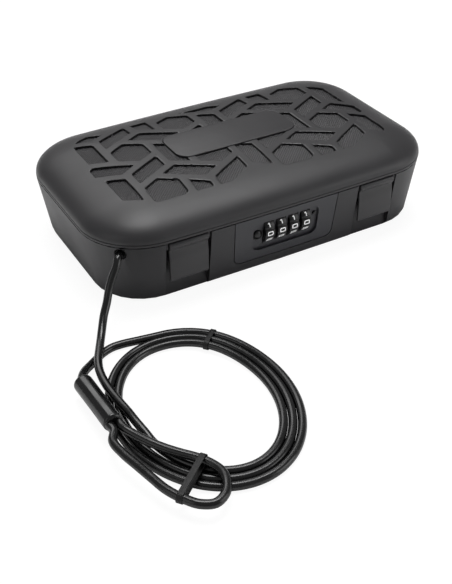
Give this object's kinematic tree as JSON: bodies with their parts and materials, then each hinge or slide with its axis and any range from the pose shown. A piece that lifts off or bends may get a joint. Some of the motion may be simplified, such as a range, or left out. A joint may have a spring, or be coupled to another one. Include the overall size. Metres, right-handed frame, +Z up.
{
  "type": "portable car safe",
  "caption": "Small clamshell safe with a domed lid, two front latches, a number-dial lock and a coiled tether cable that ends in an eye.",
  "frame": {"origin": "centre of the case's bounding box at the bottom of the feet, measured without the tether", "axes": "+X to the right along the long front, +Y from the front with the dials towards the rear hinge, +Z up"},
  "size_m": [0.2883, 0.3128, 0.0631],
  "materials": {
    "lid_plastic": "satin textured ABS, charcoal",
    "base_plastic": "satin textured ABS, dark charcoal",
    "panel_plastic": "satin ABS, bluish grey",
    "dial_plastic": "gloss black with white numerals",
    "cover_plastic": "matt black",
    "rubber": "matt rubber",
    "foam": "soft foam with a napped face",
    "cable_vinyl": "gloss black vinyl over steel strand",
    "steel": "bright steel"
  },
  "bodies": {
    "base": {"base_shell": "base_plastic", "lock_bezel": "panel_plastic", "lock_cover": "cover_plastic", "foot_1": "rubber", "foot_2": "rubber", "foot_3": "rubber", "foot_4": "rubber", "cable_bush": "rubber", "base_liner": "foam", "cable_drop": "cable_vinyl", "cable_coil": "cable_vinyl", "cable_tail": "cable_vinyl", "cable_eye": "cable_vinyl", "cable_sleeve": "cable_vinyl", "coil_tie": "cable_vinyl", "eye_strap": "cable_vinyl", "hinge_pin_left": "steel", "hinge_pin_right": "steel", "dial_spacer_1": "steel", "dial_spacer_2": "steel", "dial_spacer_3": "steel", "dial_spacer_4": "steel", "dial_spacer_5": "steel", "dial_spindle": "steel", "detent_spring": "steel", "lock_frame": "steel", "cable_stop": "steel", "lock_cover_screw_1": "steel", "lock_cover_screw_2": "steel", "lock_cover_screw_3": "steel", "lock_cover_screw_4": "steel"},
    "lid": {"lid_shell": "lid_plastic", "badge_plate": "panel_plastic", "lid_liner": "foam", "striker": "steel", "striker_screw_1": "steel", "striker_screw_2": "steel", "latch_pin_left": "steel", "latch_pin_right": "steel"},
    "latch_left": {"latch_left": "lid_plastic"},
    "latch_right": {"latch_right": "lid_plastic"},
    "dial_1": {"dial_1": "dial_plastic"},
    "dial_2": {"dial_2": "dial_plastic"},
    "dial_3": {"dial_3": "dial_plastic"},
    "dial_4": {"dial_4": "dial_plastic"},
    "lock_bolt": {"lock_bolt": "steel"},
    "release_button": {"release_button": "dial_plastic"},
    "reset_pin": {"reset_pin": "steel"}
  },
  "joints": [
    {"name": "lid_hinge", "type": "hinge", "parent": "base", "child": "lid", "pos_m": [0, 0.0726, 0.043], "axis": [-1, 0, 0], "range_deg": [0, 100]},
    {"name": "latch_left_pivot", "type": "hinge", "parent": "lid", "child": "latch_left", "pos_m": [-0.06816, -0.0708, 0.04], "axis": [-1, 0, 0], "range_deg": [0, 90]},
    {"name": "latch_right_pivot", "type": "hinge", "parent": "lid", "child": "latch_right", "pos_m": [0.06816, -0.0708, 0.04], "axis": [-1, 0, 0], "range_deg": [0, 90]},
    {"name": "dial_1_turn", "type": "hinge", "parent": "base", "child": "dial_1", "pos_m": [-0.0123, -0.06592, 0.0288], "axis": [1, 0, 0], "continuous": true},
    {"name": "dial_2_turn", "type": "hinge", "parent": "base", "child": "dial_2", "pos_m": [-0.00343, -0.06592, 0.0288], "axis": [1, 0, 0], "continuous": true},
    {"name": "dial_3_turn", "type": "hinge", "parent": "base", "child": "dial_3", "pos_m": [0.00543, -0.06592, 0.0288], "axis": [1, 0, 0], "continuous": true},
    {"name": "dial_4_turn", "type": "hinge", "parent": "base", "child": "dial_4", "pos_m": [0.01431, -0.06592, 0.0288], "axis": [1, 0, 0], "continuous": true},
    {"name": "bolt_slide", "type": "slide", "parent": "base", "child": "lock_bolt", "axis": [-1, 0, 0], "range_m": [0, 0.00887]},
    {"name": "release_button_push", "type": "slide", "parent": "base", "child": "release_button", "axis": [0, 1, 0], "range_m": [0, 0.0016], "stiffness_N_per_m": 200},
    {"name": "reset_pin_push", "type": "slide", "parent": "base", "child": "reset_pin", "axis": [0, 1, 0], "range_m": [0, 0.0012], "stiffness_N_per_m": 200}
  ]
}
